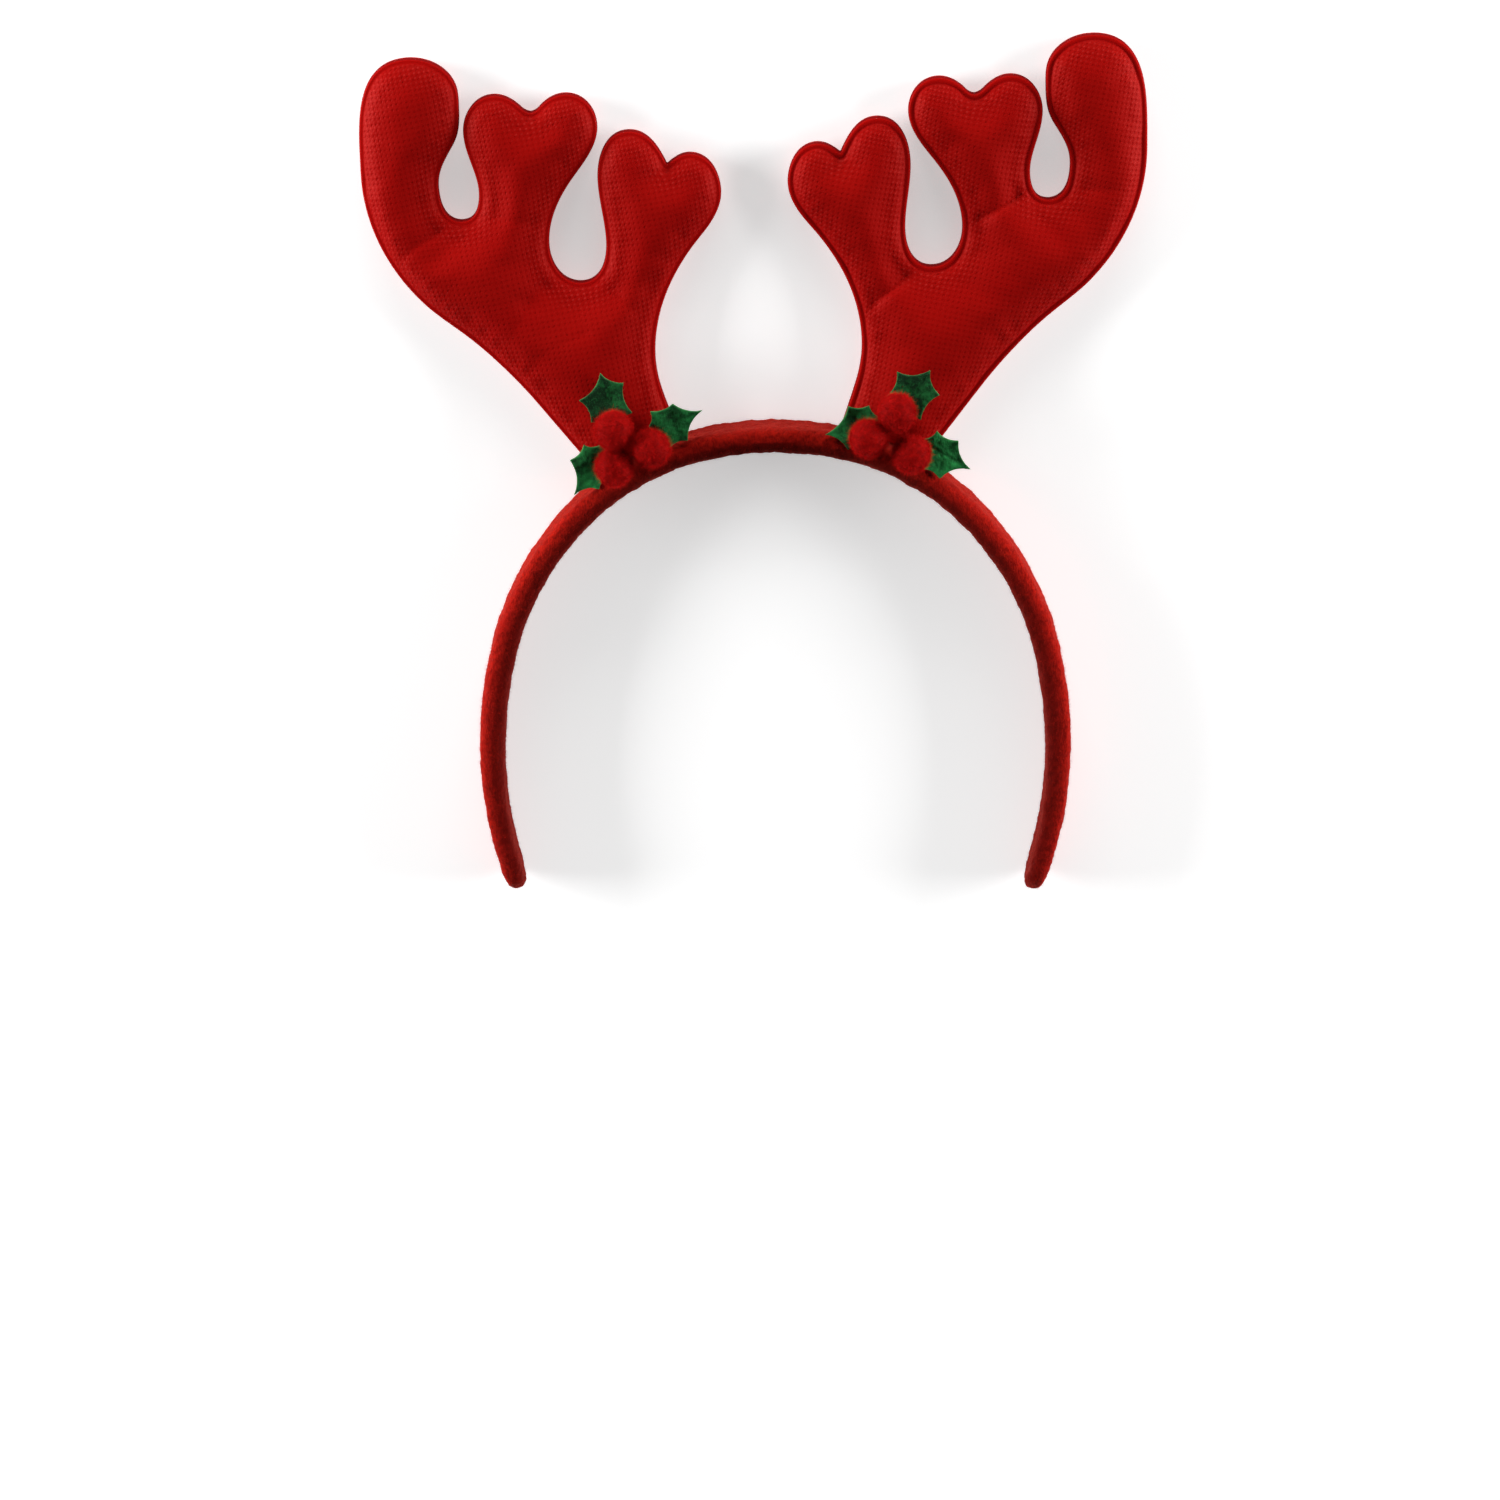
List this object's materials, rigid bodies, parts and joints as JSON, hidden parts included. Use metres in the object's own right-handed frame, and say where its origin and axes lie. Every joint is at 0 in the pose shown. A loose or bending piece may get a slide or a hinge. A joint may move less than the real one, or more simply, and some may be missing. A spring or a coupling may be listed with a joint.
{
  "type": "reindeer antler headband",
  "caption": "Felt-covered hairband with a pair of flat stuffed reindeer antlers and sprigs of felt holly with pompom berries, lying on its back edge.",
  "frame": {"origin": "on the flat back edge of the band, below the middle of its crown", "axes": "+Y from the crown towards the antlers' tips, +Z from the back edge to the front with the holly, +X to the right as seen from the front"},
  "size_m": [0.2094, 0.2387, 0.0248],
  "materials": {
    "felt_red": "fuzzy red felt, matt",
    "knit_red": "shiny red warp knit over soft stuffing, welded at its rim",
    "felt_green": "stiff pressed green felt",
    "pompom_red": "fluffy red pompom"
  },
  "bodies": {
    "root": {"band": "felt_red", "antler_left": "knit_red", "antler_right": "knit_red", "leaf_left_upper": "felt_green", "leaf_left_inner": "felt_green", "leaf_left_lower": "felt_green", "leaf_right_upper": "felt_green", "leaf_right_inner": "felt_green", "leaf_right_lower": "felt_green", "berry_left_upper": "pompom_red", "berry_left_inner": "pompom_red", "berry_left_lower": "pompom_red", "berry_right_upper": "pompom_red", "berry_right_inner": "pompom_red", "berry_right_lower": "pompom_red"}
  },
  "joints": []
}
